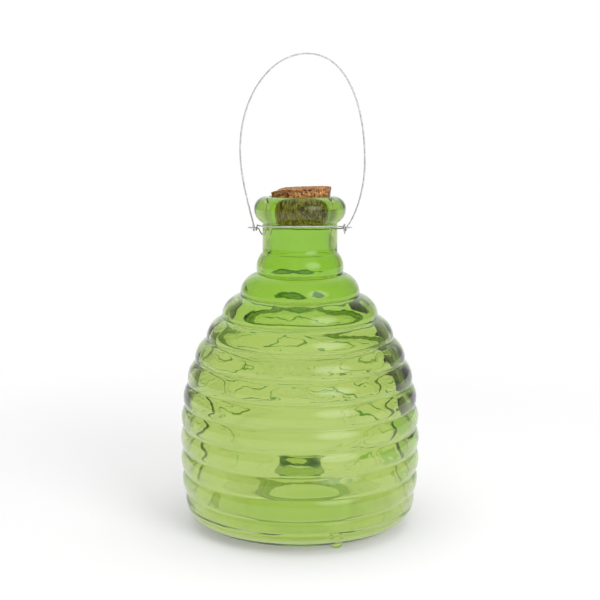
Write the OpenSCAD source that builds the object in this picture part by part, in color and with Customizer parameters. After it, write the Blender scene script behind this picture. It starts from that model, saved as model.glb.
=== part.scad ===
// Glass fly trap: a ribbed bottle with a pushed-up base, a cork, a wire collar and a wire bail.
// Millimetres, +Z up. The origin is on the floor, under the middle of the bottle.
// The bail's legs swing in the plane x-z at rest, and the bottle is seen from -Y.

/* [Bottle] */
// Largest diameter, over the ribs
body_d = 140; // [124:1:156]
// Height of the body, from its underside to the root of the neck
body_h = 156; // [140:1:172]
// Number of ribs, one above the other
rib_count = 12; // [10:1:13]
// Radius of each rib's round outside
rib_round = 12.5; // [11:0.5:16]
// Radius of the ripple inside each rib
ripple_round = 13; // [12:0.5:24]
// Thickness of the glass in the grooves, the base and the entry
wall = 3; // [2:0.25:4]
// Height of the widest rib above the underside
belly_h = 33.6; // [24:0.5:44]
// How squarely the dome turns over
dome_turn = 3.5; // [3:0.1:4]
// How wide the dome flares towards the neck
dome_flare = 2.1; // [1.7:0.1:2.4]
// How far the lowest groove draws in below the belly
tuck = 4.4; // [2:0.2:7]
// Height of the lowest groove above the underside
heel_h = 2.7; // [2:0.1:4]
// Radius of the round heel under the lowest rib
heel_round = 8; // [7:0.5:12]

/* [Neck and lip] */
// Outside diameter of the neck
neck_d = 43.2; // [42:0.2:46]
// Height of the lip's widest line above the root of the neck
lip_rise = 23.9; // [20:0.1:28]
// Outside diameter of the rolled lip
lip_d = 52.8; // [50:0.2:56]
// Radius of the lip's round upper edge
lip_round = 7.1; // [6.4:0.1:7.6]
// Radius of the lip's round under side
lip_under_round = 9.4; // [8:0.1:11]
// Diameter of the mouth's bore
bore_d = 35; // [33:0.2:36]
// Radius of the lip's inner edge
lip_ease = 1.2; // [0.6:0.1:2]

/* [Entry in the base] */
// Diameter of the hole that the flies enter by
entry_d = 18; // [14:0.5:22]
// Rise of the pushed-up base, from the underside to the straight throat
entry_rise = 26.4; // [22:0.1:29]
// Slope of the pushed-up base, in degrees
entry_slope = 50; // [48:1:65]
// Radius that the pushed-up base turns up with from the underside
flare_round = 20; // [12:0.5:24]
// Length of the straight throat at the top of the entry
throat_h = 3; // [2:0.5:6]

/* [Feet] */
// Number of feet
foot_count = 3; // [3:1:5]
// Height of the feet below the underside
foot_h = 4; // [2.5:0.1:5]
// How much of each round pad is ground away at the floor
foot_grind = 0.8; // [0.4:0.1:1.2]
// Distance of each foot's middle from the start of the heel
foot_inset = 4.4; // [3.6:0.1:7]
// Direction of the first foot, from +X
foot_turn = -68; // [-90:1:90]

/* [Cork] */
// Length of the cork
cork_len = 20; // [16:0.5:26]
// Half angle of the cork's taper, in degrees
cork_taper = 9.4; // [5:0.1:11]
// Height of the cork's top above the lip
cork_proud = 4.9; // [4:0.1:9]
// Bevel round the cork's top and lower end
cork_bevel = 0.6; // [0.2:0.1:1.2]
// Lean of the cork in the mouth, in degrees
cork_lean = 2.2; // [0:0.1:3]
// How far the cork's top sits towards +X
cork_side = 0.5; // [0:0.1:1]
// Gap between the cork and the mouth on the side that it sits to
cork_gap = 0.3; // [0.2:0.05:0.5]

/* [Wire collar] */
// Diameter of the collar's wire
collar_wire = 0.8; // [0.6:0.05:1]
// Gap between the collar and the glass
collar_gap = 0.2; // [0.1:0.05:0.4]
// How far the front strand rises, and the back strand sags, round the neck
strand_rise = 1.8; // [0.5:0.1:4]
// Distance from the ring round the neck to the crossing of its strands
cross_out = 1.6; // [1.4:0.1:2.6]
// How far each ear's round end stands out past the bail's eye, to hold it
ear_hold = 0.15; // [0.1:0.05:0.5]
// Gap between strands of the wire that lie side by side
strand_gap = 0.3; // [0.2:0.05:0.4]
// How far the slack in the back strand hangs below the ears
slack_drop = 4.6; // [3.4:0.1:6]

/* [Bail] */
// Diameter of the bail's wire
bail_wire = 0.95; // [0.8:0.05:1.1]
// Play between the bail's eyes and the ears
eye_gap = 0.32; // [0.25:0.01:0.5]
// Height of the bail's top above the ears
bail_h = 98; // [90:1:120]
// Distance of the top towards +X
bail_top_x = 4.2; // [-8:0.2:8]
// Room between the lip and the bail on the left, at the bail's widest
bail_left = 7.7; // [6:0.1:18]
// Height of the widest point on the left above the ears
bail_left_h = 44; // [36:1:54]
// Room between the lip and the bail on the right, at the bail's widest
bail_right = 10.6; // [8:0.1:20]
// Height of the widest point on the right above the ears
bail_right_h = 37; // [32:1:50]
// Length of the cut end that hangs at the right eye
tail_len = 3.6; // [2:0.1:5]

/* [Hidden] */
$fn = 96;
eps = 0.01;

// Heights of the bottle's stations above the floor
under_z = foot_h;
groove_low_z = under_z + heel_h;
root_z = under_z + body_h;
belly_z = under_z + belly_h;
lip_z = root_z + lip_rise;
throat_z = under_z + entry_rise;
rim_z = throat_z + throat_h;

// Radii of the bottle's stations
bore_r = bore_d / 2;
neck_r = neck_d / 2;
root_r = bore_r + wall;
lip_r = lip_d / 2;
lip_mid_r = lip_r - lip_round;
lip_under_mid_r = lip_r - lip_under_round;
entry_r = entry_d / 2;

// The lip is flat on top as far as its round upper edge.
lip_flat_r = max(lip_mid_r, bore_r + lip_ease);
lip_top_z = lip_z + sqrt(pow(lip_round, 2) - pow(lip_flat_r - lip_mid_r, 2));

// The under side of the pushed-up base is an arc that turns up to a straight slope.
slope_in = [-cos(entry_slope), sin(entry_slope)];
slope_down = [-sin(entry_slope), -cos(entry_slope)];
slope_len = (entry_rise - flare_round * (1 + slope_down[1])) / slope_in[1];
flare_r = entry_r - slope_len * slope_in[0] - flare_round * slope_down[0];
flare_mid = [flare_r, under_z + flare_round];
function slope_foot(spread) = flare_mid + (flare_round - spread) * slope_down;
function slope_head(spread) =
    let (foot = slope_foot(spread))
    foot + (entry_r + spread - foot[0]) / slope_in[0] * slope_in;

// Distance from a chord to the middle of the circle of radius r that it is drawn in
function chord_to_middle(chord, r) = sqrt(pow(r, 2) - pow(chord / 2, 2));
rib_pitch = (root_z - groove_low_z) / rib_count;
rib_depth = rib_round - chord_to_middle(rib_pitch, rib_round);
belly_r = body_d / 2 - rib_depth;

// The grooves between the ribs lie on one curve: a dome above the belly, an arc below it.
function dome_r(z) = root_r + (belly_r - root_r)
    * pow(1 - pow((z - belly_z) / (root_z - belly_z), dome_turn), dome_flare);
function tuck_r(z) = belly_r - tuck * pow((belly_z - z) / (belly_z - groove_low_z), 2);
function groove(k) =
    let (z = root_z - k * rib_pitch)
    [z > belly_z ? dome_r(z) : tuck_r(z), z];

// The same grooves on the inside, one wall in from the outer ones
function turn_left(d) = [-d[1], d[0]] / norm(d);
function groove_in(k) = turn_left(groove(max(k - 1, 0)) - groove(min(k + 1, rib_count)));
function inner_groove(k) = k == 0 ? [bore_r, root_z] : groove(k) + wall * groove_in(k);

// The middle of the circle of radius r whose arc bulges out between points a and b
function arc_middle(a, b, r) =
    (a + b) / 2 + turn_left(a - b) * chord_to_middle(norm(b - a), r);

heel_r = groove(rib_count)[0] - sqrt(pow(heel_round, 2) - pow(heel_round - heel_h, 2));

// The feet are round pads bedded in the glass of the base.
foot_bed = 0.8 * wall;
foot_d = foot_h + foot_bed + foot_grind;
foot_r = heel_r - foot_inset;

// The cork is tightest where the straight bore starts, on the side that it sits to.
seat_depth = cork_proud + lip_ease;
seat_side = cork_side + seat_depth * tan(cork_lean);
cork_top_r = bore_r - seat_side - cork_gap + seat_depth * tan(cork_taper);
function cork_r(depth) = cork_top_r - depth * tan(cork_taper);

// Draws the bulges between the points of a groove line, down to floor_z, and the core behind them.
module ribbed(points, round, floor_z) {
  top_z = points[0][1];
  core_inset = wall / 3;
  core = [for (p = points) p - [core_inset, 0]];
  intersection() {
    translate([0, floor_z])
      square([body_d, lip_z]);
    union() {
      for (i = [1 : len(points) - 1])
        translate(arc_middle(points[i - 1], points[i], round))
          circle(round);
      polygon(concat([[0, top_z]], core, [[0, floor_z]]));
    }
  }
}

// The outside of the bottle as a solid half section, without feet
module outside_half() {
  ribbed([for (k = [0 : rib_count]) groove(k)], rib_round, groove_low_z);
  translate([heel_r, under_z + heel_round])
    circle(heel_round);
  translate([0, under_z])
    square([heel_r, heel_round]);
  translate([0, root_z - rib_pitch / 2])
    square([neck_r, lip_z - root_z + rib_pitch / 2]);
  lip_half();
}

module lip_half() {
  intersection() {
    translate([lip_mid_r, lip_z])
      circle(lip_round);
    translate([0, lip_z - eps])
      square([lip_r, lip_round + eps]);
  }
  intersection() {
    translate([lip_under_mid_r, lip_z])
      circle(lip_under_round);
    translate([0, lip_z - lip_under_round])
      square([lip_r, lip_under_round]);
  }
  translate([0, lip_z - eps])
    square([lip_flat_r, lip_top_z - lip_z + eps]);
}

// The space inside the bottle, before the entry is stood in it
module inside_half() {
  floor_z = under_z + wall;
  inner_round = heel_round - wall;
  ribbed([for (k = [0 : rib_count]) inner_groove(k)], ripple_round, floor_z + inner_round);
  translate([heel_r, floor_z + inner_round])
    circle(inner_round);
  translate([0, floor_z])
    square([heel_r, inner_round + rib_pitch]);
  translate([0, root_z - rib_pitch])
    square([bore_r, lip_z + lip_round - root_z + rib_pitch]);
  lip_edge();
}

// What is rounded off the lip's inner edge
module lip_edge() {
  difference() {
    translate([bore_r - eps, lip_top_z - lip_ease])
      square([lip_ease + eps, lip_ease + eps]);
    translate([bore_r + lip_ease, lip_top_z - lip_ease])
      circle(lip_ease);
  }
}

// The pushed-up base as a solid cone with a throat, as thick as spread beyond its under side
module trumpet_half(spread) {
  foot = slope_foot(spread);
  head = slope_head(spread);
  difference() {
    translate([0, -eps])
      square([flare_r, foot[1] + eps]);
    translate(flare_mid)
      circle(flare_round - spread);
  }
  polygon([[0, foot[1] - eps], foot - [0, eps], foot, head, [0, head[1]]]);
  translate([0, head[1] - eps])
    square([entry_r + spread, rim_z - head[1] + eps]);
}

module entry_rim() {
  translate([entry_r + wall / 2, rim_z])
    circle(wall / 2);
}

// The glass as a half section, without feet
module glass_half() {
  difference() {
    outside_half();
    difference() {
      inside_half();
      trumpet_half(wall);
      entry_rim();
    }
    trumpet_half(0);
    translate([0, rim_z - eps])
      square([entry_r, wall]);
  }
}

module foot() {
  translate([foot_r, 0, foot_d / 2 - foot_grind])
    sphere(d = foot_d);
}

// All that lies under the floor, ground off the feet
module ground_off() {
  translate([-body_d, -body_d, -foot_d])
    cube([2 * body_d, 2 * body_d, foot_d]);
}

module glass_body() {
  color("yellowgreen", 0.6)
    difference() {
      union() {
        rotate_extrude()
          intersection() {
            glass_half();
            square([body_d, lip_z + lip_round]);
          }
        for (i = [0 : foot_count - 1])
          rotate(foot_turn + i * 360 / foot_count)
            foot();
      }
      ground_off();
    }
}

module cork_stopper() {
  end = cork_len - cork_bevel;
  color("peru")
    translate([cork_side, 0, lip_top_z + cork_proud])
      rotate([0, -cork_lean, 0])
        rotate_extrude()
          polygon([
            [0, 0],
            [cork_r(cork_bevel) - cork_bevel, 0],
            [cork_r(cork_bevel), -cork_bevel],
            [cork_r(end), -end],
            [cork_r(end) - cork_bevel, -cork_len],
            [0, -cork_len]
          ]);
}

// Curves: a path is a list of points.
function mix(a, b, t) = a + (b - a) * t;
function bezier(a, b, c, d, t) =
    let (ab = mix(a, b, t), bc = mix(b, c, t), cd = mix(c, d, t))
    mix(mix(ab, bc, t), mix(bc, cd, t), t);
function curve(a, b, c, d, steps) = [for (i = [0 : steps - 1]) bezier(a, b, c, d, i / steps)];

// One point of the smooth curve through the points p, between p[i] and p[i + 1]
function smooth_point(p, i, t) =
    let (
      a = p[max(i - 1, 0)],
      b = p[i],
      c = p[i + 1],
      d = p[min(i + 2, len(p) - 1)]
    )
    b + 0.5 * t * (c - a + t * (2 * a - 5 * b + 4 * c - d + t * (3 * (b - c) + d - a)));
function smooth(p, steps) = concat(
    [for (i = [0 : len(p) - 2], s = [0 : steps - 1]) smooth_point(p, i, s / steps)],
    [p[len(p) - 1]]);

// Wire: a round tube along a path, with side vectors carried along so that it doesn't twist.
wire_sides = 8;
wire_steps = 2;
function unit(v) = v / norm(v);
function heading(p, i) = unit(p[min(i + 1, len(p) - 1)] - p[max(i - 1, 0)]);
function square_to(u, t) = unit(u - (u * t) * t);
function side_vectors(p) = [
  for (i = 0, u = square_to([0.3, 0.5, 0.8], heading(p, 0));
       i < len(p);
       i = i + 1, u = i < len(p) ? square_to(u, heading(p, i)) : u) u
];

module wire(route, d) {
  path = smooth(route, wire_steps);
  n = wire_sides;
  last = len(path) - 1;
  sides = side_vectors(path);
  points = [
    for (i = [0 : last], j = [0 : n - 1])
      let (u = sides[i], v = cross(heading(path, i), u), a = j * 360 / n)
      path[i] + d / 2 * (cos(a) * u + sin(a) * v)
  ];
  skin = [
    for (i = [0 : last - 1], j = [0 : n - 1], half = [0, 1])
      let (a = i * n + j, b = i * n + (j + 1) % n)
      half == 0 ? [a, a + n, b] : [b, a + n, b + n]
  ];
  near_end = [for (j = [1 : n - 2]) [0, j, j + 1]];
  far_end = [for (j = [1 : n - 2]) [last * n, last * n + j + 1, last * n + j]];
  polyhedron(points, concat(skin, near_end, far_end));
}

// The collar is one wire round the neck, crossed and drawn out into an ear on either side.
// Along an ear lie the twist, on the left also the bound end, then the bail's eye and a round end.
collar_r = neck_r + collar_gap + collar_wire / 2;
pair_r = (collar_wire + strand_gap) / 2;
strand_top_z = lip_z - sqrt(
    pow(lip_under_round + collar_gap + collar_wire / 2, 2) - pow(collar_r - lip_under_mid_r, 2));
ear_z = strand_top_z - pair_r - strand_rise;
cross_x = collar_r + cross_out;
leave_turn = acos(collar_r / cross_x);
twist_len = 3 * pair_r;
bind_x = cross_x + pair_r;
bind_end_x = bind_x + collar_wire + strand_gap;
bind_r = pair_r + collar_wire + strand_gap / 2;
eye_x = bind_end_x + (collar_wire + bail_wire) / 2 + eye_gap;
ear_round = pair_r + eye_gap + ear_hold;
ear_end_x = eye_x + bail_wire + ear_round;
ear_open = asin(pair_r / ear_round);

// Points round the neck, which rise at the front (way 1) or sag at the back (way -1)
strand_steps = 16;
function strand(from, to, way) = [
  for (i = [0 : strand_steps])
    let (a = mix(from, to, i / strand_steps))
    [collar_r * cos(a), collar_r * sin(a), ear_z + way * (pair_r + strand_rise * abs(sin(a)))]
];

// An ear, on the right (side 1) or the left (side -1), that goes out on one side of itself (way).
loop_steps = 10;
function twist(side, way, turns) = [
  for (a = turns)
    [side * (cross_x + twist_len * a / 90), way * pair_r * sin(a), ear_z + way * pair_r * cos(a)]
];
function ear_side(side, way) = [[side * (ear_end_x - ear_round - pair_r), way * pair_r, ear_z]];
function ear_loop(side, way) = [
  for (i = [0 : loop_steps])
    let (a = mix(180 - ear_open, ear_open - 180, i / loop_steps))
    [side * (ear_end_x + ear_round * cos(a)), way * ear_round * sin(a), ear_z]
];
function ear_out(side, way) =
    concat(twist(side, way, [0 : 30 : 90]), ear_side(side, way), ear_loop(side, way));
function ear_back(side, way) = concat(ear_side(side, -way), twist(side, -way, [90 : -30 : 0]));

// The front strand's end is bound round the left ear, from its top.
bind_from = 60;
bind_turn = 270;
bind_steps = 9;
bound_end = [
  for (i = [bind_steps : -1 : 0])
    let (a = bind_from + bind_turn * i / bind_steps)
    [-mix(bind_x, bind_end_x, i / bind_steps), -bind_r * cos(a), ear_z + bind_r * sin(a)]
];

// The back strand ends in a slack kink beside the neck: pairs of turn from the ear and depth.
slack_turn = 6;
slack_shape = [[4 * slack_turn, 0.26], [3 * slack_turn, 0.55], [2 * slack_turn, 1]];
slack_rise = [-mix(collar_r, cross_x, 0.5), collar_r * sin(slack_turn), ear_z - slack_drop * 0.6];
slack = [
  for (s = slack_shape)
    [-collar_r * cos(s[0]), collar_r * sin(s[0]), ear_z - slack_drop * s[1]]
];

collar_path = concat(
    bound_end,
    strand(leave_turn - 180, -leave_turn, 1),
    ear_out(1, 1),
    ear_back(1, 1),
    strand(leave_turn, 180 - slack_shape[0][0] - slack_turn, -1),
    slack,
    [slack_rise],
    ear_out(-1, -1),
    ear_side(-1, 1));

module neck_collar() {
  color("silver")
    wire(collar_path, collar_wire);
}

// The bail is an uneven arch with an eye bent round each ear.
// On an eye, turn 0 is at the front, and turn grows as the eye goes under the ear.
eye_r = pair_r + (collar_wire + bail_wire) / 2 + eye_gap;
eye_steps = 12;
left_eye_turn = 272;
right_eye_pitch = bail_wire * 1.5;
function eye_point(x, turn) = [x, -eye_r * cos(turn), ear_z - eye_r * sin(turn)];
left_eye = [
  for (i = [eye_steps : -1 : 0])
    eye_point(-eye_x, left_eye_turn * i / eye_steps)
];
right_eye = [
  for (i = [0 : eye_steps])
    eye_point(eye_x - right_eye_pitch * i / eye_steps, 360 * i / eye_steps)
];
tail_start = eye_point(eye_x - right_eye_pitch, 0);
tail = [for (t = [0.5, 1]) tail_start + t * [bail_wire * 0.7, 0, -tail_len]];

// The arch runs through its legs, its widest points and its top.
left_leg = eye_point(-eye_x, 0) + [-bail_wire * 0.3, eye_r * 0.2, eye_r * 1.5];
left_wide = [-lip_r - bail_left, 0, ear_z + bail_left_h];
top = [bail_top_x, 0, ear_z + bail_h];
right_wide = [lip_r + bail_right, 0, ear_z + bail_right_h];
right_leg = eye_point(eye_x, 0) + [bail_wire * 2, eye_r * 0.3, eye_r * 1.45];

// How far the arch's bends reach, and how far its legs stand off the lip as they leave the ears
round_reach = 0.55;
square_reach = 0.66;
leg_reach = 14;
left_stand = 4.1;
right_stand = 6.9;
right_reach = 8;
leg_steps = 12;
arch_steps = 16;

bail_path = concat(
    left_eye,
    curve(left_leg, [-lip_r - left_stand, 0, left_leg[2] + leg_reach],
          left_wide - [0, 0, leg_reach], left_wide, leg_steps),
    curve(left_wide, left_wide + [0, 0, round_reach * (top[2] - left_wide[2])],
          top - [round_reach * (top[0] - left_wide[0]), 0, 0], top, arch_steps),
    curve(top, top + [square_reach * (right_wide[0] - top[0]), 0, 0],
          right_wide + [0, 0, round_reach * (top[2] - right_wide[2])], right_wide, arch_steps),
    curve(right_wide, right_wide - [0, 0, leg_reach],
          [lip_r + right_stand, 0, right_leg[2] + right_reach], right_leg, leg_steps),
    [right_leg],
    right_eye,
    tail);

module bail() {
  color("lightgray")
    wire(bail_path, bail_wire);
}

glass_body();
cork_stopper();
neck_collar();
bail();
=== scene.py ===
"""Looks of a ribbed green glass fly trap with a cork and a wire bail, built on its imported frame."""

import math

import bpy
import numpy as np
from mathutils import Matrix, Vector, noise


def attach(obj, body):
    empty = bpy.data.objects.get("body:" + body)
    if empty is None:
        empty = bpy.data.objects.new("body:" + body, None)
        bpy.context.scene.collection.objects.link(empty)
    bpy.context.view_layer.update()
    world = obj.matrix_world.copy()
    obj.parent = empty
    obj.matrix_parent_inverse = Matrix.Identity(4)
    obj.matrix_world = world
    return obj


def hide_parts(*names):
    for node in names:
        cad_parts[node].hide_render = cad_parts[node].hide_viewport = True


bl_info = {
    "name": "Glass fly trap",
    "version": (1, 0, 0),
    "blender": (4, 5, 0),
    "location": "View3D > Sidebar > Fly Trap",
    "description": "Dresses the frame of a glass fly trap: moulded glass, cork and galvanised wire",
    "category": "Object",
}

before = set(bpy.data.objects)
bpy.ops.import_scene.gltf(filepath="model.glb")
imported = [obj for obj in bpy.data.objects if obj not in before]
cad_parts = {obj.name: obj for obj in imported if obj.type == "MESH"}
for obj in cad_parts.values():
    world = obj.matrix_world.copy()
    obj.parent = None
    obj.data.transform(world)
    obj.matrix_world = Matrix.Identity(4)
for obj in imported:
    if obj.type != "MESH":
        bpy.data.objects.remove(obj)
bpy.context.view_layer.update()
MM = 0.001
MERGE = 1e-6

# Passes that soften the ridges inside the glass, their weights, and the short end steps of an arc in degrees
RIDGE_PASSES, SOFTEN, EASE = 6, (0.25, 0.5, 0.25), 3
# Waves inside the glass: share of the depth, waves round, waves up, and shift
WAVES = ((1.0, 1.6, 95, 0), (0.3, 4, 170, 9))
# Points of the section that stay smooth inside, at the mouth and at the heel
SMOOTH_ENDS = (6, 10)
# Heights in metres over which the body's tone turns to the neck's, the neck's to the lip's, and the painted
# light on the cork inside the glass fades out
NECK_Z, LIP_Z, CORK_Z = (0.1, 0.15), (0.172, 0.178), (0.188, 0.191)
# Painted light: how much brighter the cork's colour is made inside the glass, which keeps the lamps' direct
# light off it
CORK_PAINTED_LIGHT = 1.5

# How often a ray may turn in the glass
BOUNCES = 32
# Light on the pieces, and the floor's own glow and its fade to white, in metres
AMBIENT, FLOOR_GLOW, FLOOR_FADE = 0.5, 0.25, (0.15, 0.5)
# Lamps: place, width in metres and power in watts, and the point that all are turned to
LAMPS = {"top_softbox": ((0, -0.1, 1.1), 1.4, 6), "front_softbox": ((0.6, -0.8, 0.5), 0.5, 5)}
LAMP_AIM = (0, 0, 0.1)
# The room through the glass: its level, the ceiling's level and the ceiling's angles in degrees
BEHIND, DIM, CEILING = 0.89, 0.62, (38, 55)
WHITE, WHITE_BEHIND = (1, 1, 1, 1), (BEHIND, BEHIND, BEHIND, 1)
# Its dimmer sides: where they start and end, and the shares left there and after a mirroring in the glass
ASIDE, LEFT, RIGHT, INNER = (0.3, 0.8), 0.72, 0.45, 0.75
# The room as the pieces mirror it: levels of its front and sides and where they change, and one bright window
FRONT, FRONT_Y, SIDE, SIDE_X = 0.5, (-0.3, 0.5), 0.28, (0.2, 0.8)
GLINT, GLINT_AT, GLINT_EDGE = 3.0, (0.6, -0.8, 0.42), 0.9

# Dark cards behind the dome, seen only through the glass: their place in millimetres
FLAG_Y = 100
# Angles in degrees at which they fade, and the faces of glass that a ray may cross without it
GRID, EDGE_WALLS = (30, 46), 2
BLACK, SHADED = (0, 0, 0, 1), (0.55, 0.72, 0.42, 1)
# Each card: colour, rows of inner x, outer x and z in millimetres, and how close in metres it must be to show
FLAGS = {
    "flag_right": (BLACK, (
        (84, 200, 43), (76, 200, 58), (72, 200, 70), (70, 200, 90), (64, 180, 100), (60, 170, 117)), None),
    "flag_right_high": (BLACK, (
        (60, 170, 117), (40, 160, 124), (42, 150, 130), (90, 130, 136)), (0.125, 0.135)),
    "flag_right_low": (SHADED, ((60, 170, 1), (75, 170, 20), (78, 170, 36)), None),
    "flag_left_low": (BLACK, (
        (-100, -200, 44), (-90, -200, 50), (-78, -200, 58),
        (-78, -200, 64), (-78, -106, 68), (-80, -106, 82)), None),
    "flag_left_high": (BLACK, (
        (-72, -170, 116), (-68, -170, 124), (-60, -160, 129), (-52, -140, 133)), None),
    "flag_left_top": (BLACK, (
        (-52, -140, 133), (-60, -120, 145), (-90, -110, 149), (-98, -105, 156)), (0.105, 0.115)),
}
# Thin hoops round the trap: heights, radius and wire in millimetres
HOOPS, HOOP_R, HOOP_WIRE = (22, 34, 46, 58, 70, 82, 94, 106, 116), 300, 1.5
# Seams of the floor: distances from the axis in metres, width as a share of that, and colours near and far
SEAMS, SEAM_WIDTH = (0.1, 0.125, 0.15, 0.175, 0.24, 0.285, 0.34, 0.45, 0.6, 0.82), 0.02
NEAR, NEAR_SEAM, SEAM = 0.19, (0.45, 0.66, 0.32, 1), (0.22, 0.42, 0.18, 1)
# Distance at which the seams' ramp is at its middle, and the painted green shadow on the floor under the base,
# seen through the glass
HALF_WAY, UNDER_SHADOW, UNDER_SHADOW_R = 0.5, (0.72, 0.86, 0.45, 1), (0.02, 0.075)


# Settings that a user would change

class TrapGlassSettings(bpy.types.PropertyGroup):
    """Sizes and colour of the moulded bottle"""

    body_d: bpy.props.FloatProperty(
        name="Body diameter", description="Largest diameter, over the ribs",
        default=140 * MM, unit="LENGTH", precision=4)
    wall: bpy.props.FloatProperty(
        name="Wall", description="Thickness of the glass in the grooves between the ribs",
        default=3 * MM, unit="LENGTH", precision=4)
    rib_count: bpy.props.IntProperty(
        name="Ribs", description="Number of round ribs, one above the other", default=12, min=4)
    turn_steps: bpy.props.IntProperty(
        name="Steps of the turn", description="Faces round the bottle", default=176, min=48)
    wave: bpy.props.FloatProperty(
        name="Waves inside", description="Depth of the uneven inner surface that blowing leaves",
        default=0.4 * MM, unit="LENGTH", precision=5)
    tint: bpy.props.FloatVectorProperty(
        name="Tint", description="Colour that a thick piece of the glass lets through",
        subtype="COLOR", size=3, min=0, max=1, default=(0.595, 0.78, 0.083))
    tint_density: bpy.props.FloatProperty(
        name="Tint density", description="How fast the glass takes up the other colours, for a metre",
        default=36, min=0)
    body_tone: bpy.props.FloatVectorProperty(
        name="Body tone", description="Colour of the surface of the body",
        subtype="COLOR", size=3, min=0, max=1, default=(0.766, 0.852, 0.463))
    neck_tone: bpy.props.FloatVectorProperty(
        name="Neck tone", description="Colour of the surface of the neck",
        subtype="COLOR", size=3, min=0, max=1, default=(0.58, 0.808, 0.225))
    lip_tone: bpy.props.FloatVectorProperty(
        name="Lip tone", description="Colour of the surface of the thick lip",
        subtype="COLOR", size=3, min=0, max=1, default=(0.66, 0.87, 0.275))


class TrapCorkSettings(bpy.types.PropertyGroup):
    """Finish of the stopper"""

    granule: bpy.props.FloatProperty(
        name="Granule", description="Usual width of a cork granule",
        default=1.15 * MM, unit="LENGTH", precision=4)
    chip: bpy.props.FloatProperty(
        name="Chipped edge", description="How deep the worn part of the top edge is",
        default=2.0 * MM, unit="LENGTH", precision=4)
    pale: bpy.props.FloatVectorProperty(
        name="Pale granules", description="Colour of the palest granules",
        subtype="COLOR", size=3, min=0, max=1, default=(0.93, 0.46, 0.19))
    dark: bpy.props.FloatVectorProperty(
        name="Dark granules", description="Colour of the darkest granules",
        subtype="COLOR", size=3, min=0, max=1, default=(0.15, 0.048, 0.017))


class TrapWireSettings(bpy.types.PropertyGroup):
    """Finish of the galvanised wires"""

    zinc: bpy.props.FloatVectorProperty(
        name="Zinc", description="Colour of the clean zinc coat",
        subtype="COLOR", size=3, min=0, max=1, default=(0.9, 0.91, 0.9))
    weathered: bpy.props.FloatVectorProperty(
        name="Weathered zinc", description="Colour of the dull patches in the coat",
        subtype="COLOR", size=3, min=0, max=1, default=(0.72, 0.73, 0.72))


class TrapStageSettings(bpy.types.PropertyGroup):
    """Camera and light"""

    camera_away: bpy.props.FloatProperty(
        name="Distance", description="Distance of the camera in front of the bottle's axis",
        default=632.3 * MM, unit="LENGTH", precision=4)
    camera_height: bpy.props.FloatProperty(
        name="Height", description="Height of the camera above the floor",
        default=222 * MM, unit="LENGTH", precision=4)
    camera_pitch: bpy.props.FloatProperty(
        name="Pitch", description="How far the camera looks down",
        default=math.radians(8.2), subtype="ANGLE")
    lens_share: bpy.props.FloatProperty(
        name="Lens", description="Focal length as a share of the picture's width",
        default=1100 / 600, min=0.5)


# Small helpers for working as by hand

def clear_selection():
    """Leaves edit mode and deselects everything."""
    if bpy.context.object and bpy.context.object.mode != "OBJECT":
        bpy.ops.object.mode_set(mode="OBJECT")
    bpy.ops.object.select_all(action="DESELECT")


def make_active(piece):
    """Selects one piece alone."""
    clear_selection()
    piece.select_set(True)
    bpy.context.view_layer.objects.active = piece


def edit_all(piece):
    """Opens a piece in edit mode with all of it selected."""
    make_active(piece)
    bpy.ops.object.mode_set(mode="EDIT")
    bpy.ops.mesh.select_all(action="SELECT")


def close_edit():
    bpy.ops.object.mode_set(mode="OBJECT")


def points_of(piece):
    """The piece's vertices as an array."""
    co = np.empty(len(piece.data.vertices) * 3)
    piece.data.vertices.foreach_get("co", co)
    return co.reshape(-1, 3)


def normals_of(piece):
    """The normals of the piece's vertices as an array."""
    normal = np.empty(len(piece.data.vertices) * 3)
    piece.data.vertices.foreach_get("normal", normal)
    return normal.reshape(-1, 3)


def move_points(piece, co):
    piece.data.vertices.foreach_set("co", co.ravel())
    piece.data.update()


def finish_piece(piece, body, node, material):
    """Gives a finished piece its material in a slot of its own, puts it under its body and hides the imported
    node it takes the place of.
    """
    piece.data.materials.clear()
    piece.data.materials.append(material)
    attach(piece, body)
    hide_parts(node)


# Materials

def feed(tree, node, entries):
    """Sets a node's entries, each to a plain value or to an output that is given as (node, output)."""
    for name, value in entries.items():
        if isinstance(value, tuple) and isinstance(value[0], bpy.types.Node):
            tree.links.new(value[0].outputs[value[1]], node.inputs[name])
        else:
            node.inputs[name].default_value = value


def add_node(tree, kind, entries=None, **choices):
    """Adds a node with its choices and its entries set."""
    node = tree.nodes.new(kind)
    for name, value in choices.items():
        setattr(node, name, value)
    feed(tree, node, entries or {})
    return node


def reckon(tree, operation, *terms):
    """The result of a Math node on outputs and plain numbers."""
    return add_node(tree, "ShaderNodeMath", dict(enumerate(terms)), operation=operation), 0


def ranged(tree, value, span=(0.0, 1.0), low=0.0, high=1.0, step="LINEAR"):
    """The result of a Map Range node, which turns a span of a value into low to high."""
    node = add_node(tree, "ShaderNodeMapRange", {
        "Value": value, "From Min": span[0], "From Max": span[1], "To Min": low, "To Max": high},
        interpolation_type=step)
    return node, "Result"


def soft_step(tree, value, span, low=0.0, high=1.0):
    """As ranged, with soft ends."""
    return ranged(tree, value, span, low, high, "SMOOTHSTEP")


def mixed(tree, factor, a, b, kind="RGBA", blend="MIX"):
    """The result of a Mix node between two colours or numbers."""
    node = add_node(
        tree, "ShaderNodeMix", {"Factor": factor, "A": a, "B": b}, data_type=kind, blend_type=blend)
    return node, "Result"


def new_material(name, entries):
    """A material, its node tree, and its Principled shader with some plain values."""
    material = bpy.data.materials.new(name)
    material.use_nodes = True
    tree = material.node_tree
    shader = tree.nodes["Principled BSDF"]
    feed(tree, shader, entries)
    return material, tree, shader


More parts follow.
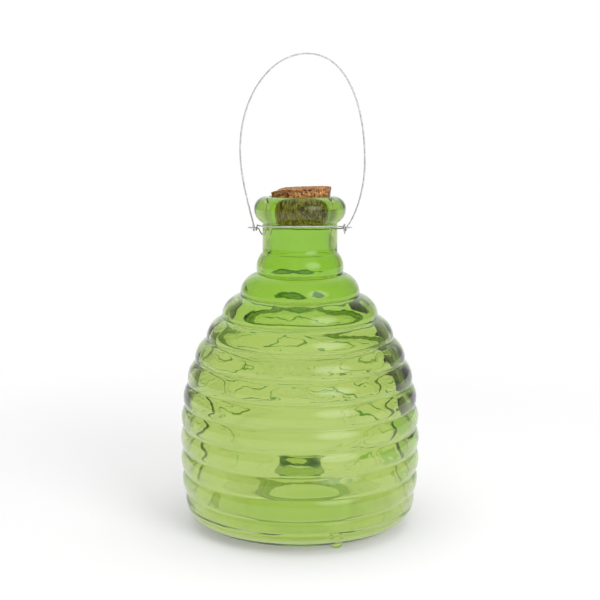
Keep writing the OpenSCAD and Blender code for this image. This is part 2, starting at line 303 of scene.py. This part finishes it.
def glass_material(settings):
    """Clear green glass, toned at its surface by height, faintly rippled, and tinted by its thickness."""
    material, tree, shader = new_material("green_moulded_glass", {
        "Roughness": 0.0, "IOR": 1.5, "Transmission Weight": 1.0})
    place = (add_node(tree, "ShaderNodeTexCoord"), "Object")
    split = add_node(tree, "ShaderNodeSeparateXYZ", {"Vector": place})
    tone = (*settings.body_tone, 1)
    for span, color in ((NECK_Z, settings.neck_tone), (LIP_Z, settings.lip_tone)):
        tone = mixed(tree, soft_step(tree, (split, "Z"), span), tone, (*color, 1))
    ripples = add_node(tree, "ShaderNodeTexNoise", {
        "Vector": place, "Scale": 90.0, "Detail": 2.0, "Roughness": 0.4})
    bump = add_node(tree, "ShaderNodeBump", {
        "Height": (ripples, "Fac"), "Strength": 0.1, "Distance": 0.001})
    tint = add_node(tree, "ShaderNodeVolumeAbsorption", {
        "Color": (*settings.tint, 1), "Density": settings.tint_density})
    feed(tree, shader, {"Base Color": tone, "Normal": (bump, "Normal")})
    feed(tree, tree.nodes["Material Output"], {"Volume": (tint, "Volume")})
    return material


def cork_material(settings):
    """Granules of many browns, pressed together, with dark joints and specks of bark, and painted light that
    brightens the part inside the glass.
    """
    material, tree, shader = new_material("granulated_cork", {"Specular IOR Level": 0.25})
    place = (add_node(tree, "ShaderNodeTexCoord"), "Object")
    split = add_node(tree, "ShaderNodeSeparateXYZ", {"Vector": place})
    cells = add_node(tree, "ShaderNodeTexVoronoi", {"Vector": place, "Scale": 1 / settings.granule})
    gaps = add_node(
        tree, "ShaderNodeTexVoronoi", {"Vector": place, "Scale": 1 / settings.granule},
        feature="DISTANCE_TO_EDGE")
    specks = add_node(tree, "ShaderNodeTexVoronoi", {"Vector": place, "Scale": 2.6 / settings.granule})
    shade = add_node(tree, "ShaderNodeSeparateColor", {"Color": (cells, "Color")})
    fleck = add_node(tree, "ShaderNodeSeparateColor", {"Color": (specks, "Color")})
    tones = add_node(tree, "ShaderNodeValToRGB", {"Fac": (shade, "Red")})
    pale, dark = np.array(settings.pale), np.array(settings.dark)
    stops = tones.color_ramp.elements
    stops[0].color, stops[1].color = (*dark, 1), (*pale, 1)
    for share, paler in ((0.1, 0.12), (0.3, 0.45), (0.55, 0.62), (0.8, 0.8)):
        stops.new(share).color = (*(dark + (pale - dark) * paler), 1)
    joints = ranged(tree, (gaps, "Distance"), (0.0, 0.12), 0.4)
    bark = ranged(tree, (fleck, "Green"), (0.12, 0.2), 0.3)
    pits = reckon(tree, "MULTIPLY", joints, bark)
    brown = mixed(tree, 1.0, (tones, "Color"), pits, blend="MULTIPLY")
    # Painted light: the cork's colour is made brighter low down, where it sits inside the glass
    painted_light = soft_step(tree, (split, "Z"), CORK_Z, CORK_PAINTED_LIGHT, 1.0)
    lit = add_node(tree, "ShaderNodeVectorMath", {0: brown, "Scale": painted_light}, operation="SCALE")
    bump = add_node(tree, "ShaderNodeBump", {"Height": pits, "Strength": 0.5, "Distance": 0.0003})
    feed(tree, shader, {
        "Base Color": (lit, 0), "Normal": (bump, "Normal"),
        "Roughness": ranged(tree, (shade, "Green"), low=0.95, high=0.75)})
    return material


def wire_material(settings, name):
    """Zinc with dull patches."""
    material, tree, shader = new_material(name, {"Metallic": 1.0})
    place = add_node(tree, "ShaderNodeTexCoord")
    patches = (add_node(tree, "ShaderNodeTexNoise", {
        "Vector": (place, "Object"), "Scale": 260.0, "Detail": 4.0}), "Fac")
    clean = ranged(tree, patches, (0.35, 0.6))
    feed(tree, shader, {
        "Base Color": mixed(tree, clean, (*settings.weathered, 1), (*settings.zinc, 1)),
        "Roughness": ranged(tree, patches, low=0.7, high=0.5)})
    return material


# The bottle's section, in millimetres, by the same measures as the solid

def arc(middle, radius, start, end, steps):
    """Points on a circle from one angle to another, in degrees, the last one left out."""
    turns = np.radians(np.linspace(start, end, steps, endpoint=False))
    return [(middle[0] + radius * math.cos(t), middle[1] + radius * math.sin(t)) for t in turns]


def line(a, b, steps):
    """Points from a towards b, the last one left out."""
    return [(a[0] + (b[0] - a[0]) * i / steps, a[1] + (b[1] - a[1]) * i / steps) for i in range(steps)]


def eased_arc(middle, radius, start, end, steps):
    """An arc with a short step at either end, so that the shading turns close to the corners only."""
    ease = math.copysign(EASE, end - start)
    return (arc(middle, radius, start, start + ease, 1)
            + arc(middle, radius, start + ease, end - ease, steps)
            + arc(middle, radius, end - ease, end, 1))


def bulge(a, b, radius, steps, turn=arc):
    """Points on the arc of a rib from groove a up to groove b."""
    a, b = np.array(a), np.array(b)
    chord = b - a
    inward = np.array((-chord[1], chord[0])) / np.hypot(*chord)
    middle = (a + b) / 2 + inward * math.sqrt(radius ** 2 - (np.hypot(*chord) / 2) ** 2)
    start = math.degrees(math.atan2(*(a - middle)[::-1]))
    end = math.degrees(math.atan2(*(b - middle)[::-1]))
    return turn(middle, radius, start, end, steps)


def glass_section(settings):
    """The closed section of the glass, and the numbers of its first and last point inside."""
    wall, ribs = settings.wall / MM, settings.rib_count
    foot_h, heel_h, body_h, belly_h, heel_round, tuck = 4, 2.7, 156, 33.6, 8, 4.4
    bore_r, neck_r, lip_r, lip_round, lip_under, lip_ease, lip_rise = 17.5, 21.6, 26.4, 7.1, 9.4, 1.2, 23.9
    entry_r, entry_rise, entry_slope, flare_round, throat_h = 9, 26.4, 50, 20, 3
    rib_round, ripple_round, dome_bend, dome_fall = 12.5, 13, 3.5, 2.1
    shoulder, neck_foot, neck_head = 4, 0.3, 0.4
    low_z, root_z, belly_z = foot_h + heel_h, foot_h + body_h, foot_h + belly_h
    throat_z, lip_z, lip_mid_r = foot_h + entry_rise, root_z + lip_rise, lip_r - lip_round
    pitch = (root_z - low_z) / ribs
    belly_r = settings.body_d / MM / 2 - (rib_round - math.sqrt(rib_round ** 2 - (pitch / 2) ** 2))
    root_r, rim_z = bore_r + wall, throat_z + throat_h
    up, along = math.sin(math.radians(entry_slope)), math.cos(math.radians(entry_slope))
    flare_r = entry_r + flare_round * up + (entry_rise - flare_round * (1 - along)) * along / up
    flare_mid = (flare_r, foot_h + flare_round)

    def slope(spread):
        """Foot and head of the pushed-up base's slope, as far as spread above its under side."""
        foot = (flare_r - (flare_round - spread) * up, flare_mid[1] - (flare_round - spread) * along)
        return foot, (entry_r + spread, foot[1] + (foot[0] - entry_r - spread) * up / along)

    def groove(k):
        z = root_z - k * pitch
        if z > belly_z:
            u = (z - belly_z) / (root_z - belly_z)
            return root_r + (belly_r - root_r) * (1 - u ** dome_bend) ** dome_fall, z
        return belly_r - tuck * ((belly_z - z) / (belly_z - low_z)) ** 2, z

    def inner_groove(k):
        if k == 0:
            return bore_r, root_z
        run = np.subtract(groove(max(k - 1, 0)), groove(min(k + 1, ribs)))
        return tuple(np.add(groove(k), wall * np.array((-run[1], run[0])) / np.hypot(*run)))

    heel_r = groove(ribs)[0] - math.sqrt(heel_round ** 2 - (heel_round - heel_h) ** 2)
    heel_end = math.degrees(math.atan2(heel_h - heel_round, groove(ribs)[0] - heel_r))
    lip_in = neck_r - lip_r + lip_under
    under_lip, over_lip = lip_z - math.sqrt(lip_under ** 2 - lip_in ** 2), lip_z + lip_round
    lip_start = math.degrees(math.atan2(under_lip - lip_z, lip_in))

    outside = line((flare_r, foot_h), (heel_r, foot_h), 3)
    outside += eased_arc((heel_r, foot_h + heel_round), heel_round, -90, heel_end, 5)
    for k in range(ribs, 0, -1):
        outside += bulge(groove(k), groove(k - 1), rib_round, 16, eased_arc)
    outside = [p for p in outside if p[1] < root_z - shoulder or p[0] > neck_r]
    neck_top = (neck_r, under_lip - neck_head)
    outside += line((neck_r, outside[-1][1] + neck_foot), neck_top, 5) + [neck_top]
    outside += eased_arc((lip_r - lip_under, lip_z), lip_under, lip_start, 0, 9)
    outside += arc((lip_mid_r, lip_z), lip_round, 0, 90, 12) + [(lip_mid_r, over_lip)]
    outside += arc((bore_r + lip_ease, over_lip - lip_ease), lip_ease, 90, 180, 5)
    inside = line((bore_r, over_lip - lip_ease), (bore_r, root_z), 8)
    floor_z, inner_round = foot_h + wall, heel_round - wall
    for k in range(ribs):
        rib = bulge(inner_groove(k + 1), inner_groove(k), ripple_round, 15)
        inside += [inner_groove(k)] + rib[:0:-1]
    inside = [p for p in inside if p[1] > floor_z + inner_round]
    for _ in range(RIDGE_PASSES):
        trios = zip(inside, inside[1:], inside[2:])
        inside = [inside[0], *[tuple(np.dot(SOFTEN, trio)) for trio in trios], inside[-1]]
    inside += arc((heel_r, floor_z + inner_round), inner_round, 0, -90, 7)
    inside += line((heel_r, floor_z), (flare_r, floor_z), 3)
    entry = arc(flare_mid, flare_round - wall, 270, 270 - entry_slope, 8)
    entry += line(*slope(wall), 3) + line(slope(wall)[1], (entry_r + wall, rim_z), 2)
    entry += arc((entry_r + wall / 2, rim_z), wall / 2, 0, 180, 8)
    entry += line((entry_r, rim_z), (entry_r, throat_z), 2) + line(*slope(0)[::-1], 3)
    entry += arc(flare_mid, flare_round, 270 - entry_slope, 270, 8)
    return outside + inside + entry, len(outside), len(outside) + len(inside)


class TRAP_OT_glass(bpy.types.Operator):
    """Turns the bottle's section, makes its inside uneven and sets it on its feet"""

    bl_idname = "trap.make_glass"
    bl_label = "Glass body"

    def execute(self, context):
        settings = context.scene.trap_glass
        section, first, last = glass_section(settings)
        clear_selection()
        bpy.ops.mesh.primitive_circle_add(vertices=len(section), radius=settings.body_d / 2)
        bottle = context.object
        bottle.name = bottle.data.name = "glass_bottle"
        inside = bottle.vertex_groups.new(name="inside")
        inside.add(list(range(first + SMOOTH_ENDS[0], last - SMOOTH_ENDS[1])), 1.0, "REPLACE")
        move_points(bottle, np.array([(r * MM, 0, z * MM) for r, z in section]))
        edit_all(bottle)
        bpy.ops.mesh.spin(steps=settings.turn_steps, angle=2 * math.pi, center=(0, 0, 0), axis=(0, 0, 1))
        bpy.ops.mesh.select_all(action="SELECT")
        bpy.ops.mesh.remove_doubles(threshold=MERGE)
        bpy.ops.mesh.normals_make_consistent(inside=False)
        close_edit()
        self.roughen_inside(bottle, settings.wave)
        self.set_on_feet(bottle)
        make_active(bottle)
        bpy.ops.object.shade_smooth_by_angle(angle=math.radians(66))
        bottle.vertex_groups.clear()
        finish_piece(bottle, "vessel", "glass_body", glass_material(settings))
        return {"FINISHED"}

    def roughen_inside(self, bottle, depth):
        """Moves the inner surface in and out in long flat waves."""
        co, normal = points_of(bottle), normals_of(bottle)
        for i, vertex in enumerate(bottle.data.vertices):
            if vertex.groups:
                x, y, z = co[i]
                far = max(math.hypot(x, y), MERGE)
                wave = 0
                for share, turns, rise, shift in WAVES:
                    spot = Vector((x / far * turns + shift, y / far * turns, z * rise))
                    wave += share * noise.noise(spot)
                co[i] += normal[i] * depth * wave
        move_points(bottle, co)

    def set_on_feet(self, bottle):
        """Joins three round pads, ground flat at the floor, to the base."""
        grind, wide, out, first_turn = 0.8, 7.2, 53.452, -68
        for i in range(3):
            turn = math.radians(first_turn + 120 * i)
            clear_selection()
            bpy.ops.mesh.primitive_uv_sphere_add(
                segments=32, ring_count=20, radius=wide / 2 * MM,
                location=(out * math.cos(turn) * MM, out * math.sin(turn) * MM, (wide / 2 - grind) * MM))
            pad = bpy.context.object
            bpy.ops.object.transform_apply()
            edit_all(pad)
            bpy.ops.mesh.bisect(plane_co=(0, 0, 0), plane_no=(0, 0, 1), use_fill=True, clear_inner=True)
            close_edit()
            make_active(bottle)
            join = bottle.modifiers.new("pad", "BOOLEAN")
            join.operation = "UNION"
            join.solver = "MANIFOLD"
            join.object = pad
            bpy.ops.object.modifier_apply(modifier=join.name)
            bpy.data.objects.remove(pad)


class TRAP_OT_cork(bpy.types.Operator):
    """Shapes the leaning stopper, with its worn top edge"""

    bl_idname = "trap.make_cork"
    bl_label = "Cork"

    def execute(self, context):
        settings = context.scene.trap_cork
        length, top_r, end_r, bevel = 20 * MM, 17.48 * MM, 14.17 * MM, 0.6 * MM
        rows, rings, ring = 26, 9, 1.4 * MM
        stand, lean = Matrix.Translation((0.5 * MM, 0, 195.9 * MM)), math.radians(-2.2)
        clear_selection()
        bpy.ops.mesh.primitive_cone_add(
            vertices=200, radius1=end_r, radius2=top_r, depth=length, location=(0, 0, -length / 2))
        cork = context.object
        cork.name = cork.data.name = "cork"
        bpy.ops.object.transform_apply()
        self.pick_edges(cork, lambda a, b: abs(a.z - b.z) < bevel)
        bpy.ops.mesh.bevel(offset=bevel, segments=3, affect="EDGES")
        close_edit()
        self.pick_edges(cork, lambda a, b: abs(a.z - b.z) > length / 2)
        bpy.ops.mesh.subdivide(number_cuts=rows)
        close_edit()
        for side in (1, -1):
            make_active(cork)
            for face in cork.data.polygons:
                face.select = face.normal.z * side > 0.99
            bpy.ops.object.mode_set(mode="EDIT")
            bpy.ops.mesh.select_mode(type="FACE")
            for _ in range(rings):
                bpy.ops.mesh.inset(thickness=ring)
            bpy.ops.mesh.poke()
            close_edit()
        finer = cork.modifiers.new("finer", "SUBSURF")
        finer.subdivision_type = "SIMPLE"
        finer.levels = finer.render_levels = 1
        make_active(cork)
        bpy.ops.object.modifier_apply(modifier=finer.name)
        self.wear(cork, settings)
        cork.data.transform(stand @ Matrix.Rotation(lean, 4, "Y"))
        bpy.ops.object.shade_smooth_by_angle(angle=math.radians(35))
        finish_piece(cork, "cork", "cork_stopper", cork_material(settings))
        return {"FINISHED"}

    def pick_edges(self, cork, wanted):
        """Opens the cork in edit mode with the edges selected whose ends are wanted."""
        make_active(cork)
        bpy.ops.object.mode_set(mode="EDIT")
        bpy.ops.mesh.select_mode(type="EDGE")
        bpy.ops.mesh.select_all(action="DESELECT")
        bpy.ops.object.mode_set(mode="OBJECT")
        points = cork.data.vertices
        for edge in cork.data.edges:
            edge.select = wanted(*(points[i].co for i in edge.vertices))
        bpy.ops.object.mode_set(mode="EDIT")

    def wear(self, cork, settings):
        """Wears the top edge off on the left, and sinks the joints and lost granules of the surface."""
        ragged_deep, ragged_fine = 0.35 * MM, 350
        worn_from, worn_run = -9.4 * MM, 6.6 * MM
        joint_wide, joint_deep, lost_deep, lost_above, lost_spread = 0.25, 0.1, 0.16, 0.86, 7.3
        co, normal = points_of(cork), normals_of(cork)
        for i, (x, y, z) in enumerate(co):
            ragged = ragged_deep * noise.noise(Vector((x, y, 0.01)) * ragged_fine)
            worn = max(0, worn_from - x) * settings.chip / worn_run
            co[i, 2] = min(z, -worn + ragged if worn > 0 else z)
            apart, middles = noise.voronoi(Vector((x, y, z)) / settings.granule)
            joint = max(0, 1 - (apart[1] - apart[0]) / joint_wide)
            lost = 1 if noise.cell(middles[0] * lost_spread) > lost_above else 0
            co[i] -= normal[i] * settings.granule * (joint_deep * joint + lost_deep * lost * (1 - joint))
        move_points(cork, co)


class TRAP_OT_wires(bpy.types.Operator):
    """Rounds off the collar's and the bail's wire and gives them their zinc"""

    bl_idname = "trap.make_wires"
    bl_label = "Wires"

    def execute(self, context):
        settings = context.scene.trap_wire
        for node, name, body, slot, lost in (
                ("neck_collar", "collar_wire_round", "vessel", "collar_wire", 0.028 * MM),
                ("bail", "bail_wire_round", "bail", "bail_wire", 0.034 * MM)):
            wire = bpy.data.objects.new(name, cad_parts[node].data.copy())
            context.scene.collection.objects.link(wire)
            edit_all(wire)
            bpy.ops.mesh.remove_doubles(threshold=MERGE)
            bpy.ops.mesh.tris_convert_to_quads()
            close_edit()
            rounder = wire.modifiers.new("round", "SUBSURF")
            rounder.levels = rounder.render_levels = 1
            bpy.ops.object.modifier_apply(modifier=rounder.name)
            self.fill_out(wire, lost)
            bpy.ops.object.shade_smooth_by_angle(angle=math.radians(50))
            finish_piece(wire, body, node, wire_material(settings, slot + "_zinc"))
        return {"FINISHED"}

    def fill_out(self, wire, lost):
        """Gives back the thickness that rounding the wire takes off."""
        move_points(wire, points_of(wire) + normals_of(wire) * lost)


class TRAP_OT_stage(bpy.types.Operator):
    """Sets the camera, the pale floor and the soft light"""

    bl_idname = "trap.make_stage"
    bl_label = "Stage"

    def execute(self, context):
        settings = context.scene.trap_stage
        scene = context.scene
        scene.view_settings.view_transform = "Standard"
        paths = scene.cycles
        paths.max_bounces = paths.glossy_bounces = paths.transmission_bounces = BOUNCES
        data = bpy.data.cameras.new("front_camera")
        data.sensor_width = 36
        data.lens = settings.lens_share * data.sensor_width
        camera = bpy.data.objects.new("front_camera", data)
        camera.location = (0, -settings.camera_away, settings.camera_height)
        camera.rotation_euler = (math.pi / 2 - settings.camera_pitch, 0, 0)
        scene.collection.objects.link(camera)
        scene.camera = camera
        clear_selection()
        bpy.ops.mesh.primitive_plane_add(size=8)
        floor = context.object
        floor.name = "pale_floor"
        floor.data.materials.append(self.floor_material())
        scene.world = self.studio_world()
        for name, (color, rows, close) in FLAGS.items():
            self.add_flag(name, color, rows, close)
        self.add_hoops()
        for name, (place, width, power) in LAMPS.items():
            self.add_lamp(name, place, width, power)
        return {"FINISHED"}

    def seen_rays(self, tree):
        """The Light Path node, and 1 for rays seen directly or mirrored."""
        path = add_node(tree, "ShaderNodeLightPath")
        return path, reckon(tree, "MAXIMUM", (path, "Is Camera Ray"), (path, "Is Glossy Ray"))

    def passed_rays(self, tree, path):
        """1 for rays that have come through the glass, bent or mirrored last, but not scattered."""
        after = reckon(tree, "MINIMUM", (path, "Transmission Depth"), (path, "Is Glossy Ray"))
        return reckon(tree, "MAXIMUM", (path, "Is Transmission Ray"), after)

    def inner_level(self, tree, path):
        """1 for a ray that the glass only bends, and less for one that it also mirrors on the way."""
        return ranged(tree, (path, "Glossy Depth"), low=1.0, high=INNER)

    def floor_material(self):
        """A pale floor that takes a shadow near the trap and is white further off."""
        material, tree, shader = new_material("pale_floor", {
            "Base Color": (0.8, 0.8, 0.8, 1), "Roughness": 0.9, "Specular IOR Level": 0.0})
        path, seen = self.seen_rays(tree)
        place = add_node(tree, "ShaderNodeTexCoord")
        far = (add_node(tree, "ShaderNodeVectorMath", {0: (place, "Object")}, operation="LENGTH"), "Value")
        glow = add_node(tree, "ShaderNodeEmission", {"Strength": reckon(tree, "MULTIPLY", seen, FLOOR_GLOW)})
        near = add_node(tree, "ShaderNodeAddShader", {0: (shader, 0), 1: (glow, 0)})
        white = add_node(tree, "ShaderNodeEmission", {"Color": WHITE, "Strength": 1.0})
        off = reckon(tree, "MULTIPLY", soft_step(tree, far, FLOOR_FADE), seen)
        ground = add_node(tree, "ShaderNodeMixShader", {0: off, 1: (near, 0), 2: (white, 0)})
        reach = reckon(tree, "DIVIDE", far, reckon(tree, "ADD", far, HALF_WAY))
        seams = add_node(tree, "ShaderNodeValToRGB", {"Fac": reach})
        self.draw_seams(seams.color_ramp)
        # Painted shadow: the floor under the base, as the glass shows it, is darker and green, fading out
        # further off
        shade = mixed(tree, soft_step(tree, far, UNDER_SHADOW_R), UNDER_SHADOW, WHITE)
        behind = add_node(tree, "ShaderNodeEmission", {
            "Color": mixed(tree, 1.0, (seams, "Color"), shade, blend="MULTIPLY"),
            "Strength": self.inner_level(tree, path)})
        through = add_node(tree, "ShaderNodeMixShader", {
            0: self.passed_rays(tree, path), 1: (ground, 0), 2: (behind, 0)})
        feed(tree, tree.nodes["Material Output"], {"Surface": (through, 0)})
        return material

    def draw_seams(self, ramp):
        """Puts the rings of the floor's seams on a ramp."""
        ramp.interpolation = "CONSTANT"
        stops = ramp.elements
        stops[0].color = stops[1].color = WHITE_BEHIND
        for out in SEAMS:
            seam = NEAR_SEAM if out < NEAR else SEAM
            for edge, color in ((out, seam), (out + SEAM_WIDTH * out, WHITE_BEHIND)):
                stops.new(edge / (edge + HALF_WAY)).color = color

    def add_flag(self, name, color, rows, close):
        """A dark card behind the dome's edge. Each row gives its inner and outer x and its z."""
        clear_selection()
        bpy.ops.mesh.primitive_grid_add(x_subdivisions=1, y_subdivisions=len(rows) - 1, size=1)
        flag = bpy.context.object
        flag.name = name
        corners = [(x, FLAG_Y, row[2]) for row in rows for x in row[:2]]
        move_points(flag, np.array(corners) * MM)
        tree, glow = self.show_through_glass(flag, color)
        self.fade_flag(tree, glow, color, close)

    def add_hoops(self):
        """Thin hoops round the trap, whose bent images show the waves of the glass."""
        for height in HOOPS:
            clear_selection()
            bpy.ops.mesh.primitive_torus_add(
                location=(0, 0, height * MM), major_segments=128, minor_segments=6,
                major_radius=HOOP_R * MM, minor_radius=HOOP_WIRE / 2 * MM)
            bpy.context.object.name = f"hoop_{height}"
            self.show_through_glass(bpy.context.object, SEAM)

    def show_through_glass(self, piece, color):
        """Gives a piece of the stage a plain colour that only shows through the glass."""
        material = bpy.data.materials.new(piece.name)
        material.use_nodes = True
        tree = material.node_tree
        glow = add_node(tree, "ShaderNodeEmission", {"Color": color})
        feed(tree, tree.nodes["Material Output"], {"Surface": (glow, 0)})
        piece.data.materials.append(material)
        piece.visible_camera = piece.visible_glossy = piece.visible_diffuse = piece.visible_shadow = False
        return tree, glow

    def fade_flag(self, tree, glow, color, close):
        """Lets a card fade where it is seen from aside, as behind a grid, and if need be from further off."""
        path = add_node(tree, "ShaderNodeLightPath")
        turned = add_node(tree, "ShaderNodeLayerWeight", {"Blend": 0.5})
        span = [1 - math.cos(math.radians(turn)) for turn in GRID]
        crossed = reckon(tree, "GREATER_THAN", (path, "Transmission Depth"), EDGE_WALLS + 0.5)
        hidden = reckon(tree, "MINIMUM", ranged(tree, (turned, "Facing"), span), crossed)
        if close:
            hidden = reckon(tree, "MAXIMUM", ranged(tree, (path, "Ray Length"), close), hidden)
        feed(tree, glow, {"Color": mixed(tree, hidden, color, WHITE_BEHIND)})

    def studio_world(self):
        """White where it is seen, a dark ceiling for what shows through the glass, and soft ambient light."""
        world = bpy.data.worlds.new("studio")
        world.use_nodes = True
        tree = world.node_tree
        path, seen = self.seen_rays(tree)
        place = add_node(tree, "ShaderNodeTexCoord")
        split = add_node(tree, "ShaderNodeSeparateXYZ", {"Vector": (place, "Generated")})
        rise = [math.sin(math.radians(angle)) for angle in CEILING]
        above = soft_step(tree, (split, "Z"), rise, BEHIND, DIM)
        through = reckon(tree, "MULTIPLY", above, self.inner_level(tree, path))
        for side, dim in ((1, RIGHT), (-1, LEFT)):
            aside = soft_step(tree, (split, "X"), [side * edge for edge in ASIDE], 1.0, dim)
            through = reckon(tree, "MULTIPLY", through, aside)
        front = soft_step(tree, (split, "Y"), FRONT_Y, FRONT, 1.0)
        sides = soft_step(tree, reckon(tree, "ABSOLUTE", (split, "X")), SIDE_X, 1.0, SIDE)
        window = add_node(tree, "ShaderNodeVectorMath", {
            0: (place, "Generated"), 1: Vector(GLINT_AT).normalized()}, operation="DOT_PRODUCT")
        glint = soft_step(tree, (window, "Value"), (GLINT_EDGE, 1.0), 0.0, GLINT)
        mirrored = reckon(tree, "ADD", reckon(tree, "MULTIPLY", front, sides), glint)
        shown = mixed(tree, (path, "Is Camera Ray"), mirrored, 1.0, "FLOAT")
        unbent = mixed(tree, seen, AMBIENT, shown, "FLOAT")
        level = mixed(tree, self.passed_rays(tree, path), unbent, through, "FLOAT")
        feed(tree, tree.nodes["Background"], {"Color": WHITE, "Strength": level})
        return world

    def add_lamp(self, name, place, width, power):
        """A square softbox that only lights, and isn't mirrored or seen through the glass."""
        data = bpy.data.lights.new(name, "AREA")
        data.shape = "RECTANGLE"
        data.size = data.size_y = width
        data.energy = power
        lamp = bpy.data.objects.new(name, data)
        lamp.location = place
        lamp.rotation_euler = (Vector(LAMP_AIM) - Vector(place)).to_track_quat("-Z", "Y").to_euler()
        bpy.context.scene.collection.objects.link(lamp)
        lamp.visible_glossy = lamp.visible_transmission = False


class TRAP_PT_panel(bpy.types.Panel):
    """Lists the trap's settings and steps"""

    bl_label = "Fly Trap"
    bl_idname = "TRAP_PT_panel"
    bl_space_type = "VIEW_3D"
    bl_region_type = "UI"
    bl_category = "Fly Trap"

    def draw(self, context):
        for name, operator in STEPS:
            box = self.layout.box()
            settings = getattr(context.scene, name)
            for key in settings.__annotations__:
                box.prop(settings, key)
            box.operator(operator.bl_idname)


STEPS = (
    ("trap_stage", TRAP_OT_stage),
    ("trap_glass", TRAP_OT_glass),
    ("trap_cork", TRAP_OT_cork),
    ("trap_wire", TRAP_OT_wires),
)
GROUPS = {
    "trap_stage": TrapStageSettings,
    "trap_glass": TrapGlassSettings,
    "trap_cork": TrapCorkSettings,
    "trap_wire": TrapWireSettings,
}
CLASSES = (*GROUPS.values(), *(operator for _, operator in STEPS), TRAP_PT_panel)


def register():
    for cls in CLASSES:
        bpy.utils.register_class(cls)
    for name, group in GROUPS.items():
        setattr(bpy.types.Scene, name, bpy.props.PointerProperty(type=group))


def unregister():
    for name in GROUPS:
        delattr(bpy.types.Scene, name)
    for cls in reversed(CLASSES):
        bpy.utils.unregister_class(cls)


def main():
    register()
    bpy.ops.trap.make_stage()
    bpy.ops.trap.make_glass()
    bpy.ops.trap.make_cork()
    bpy.ops.trap.make_wires()


if __name__ == "__main__":
    main()
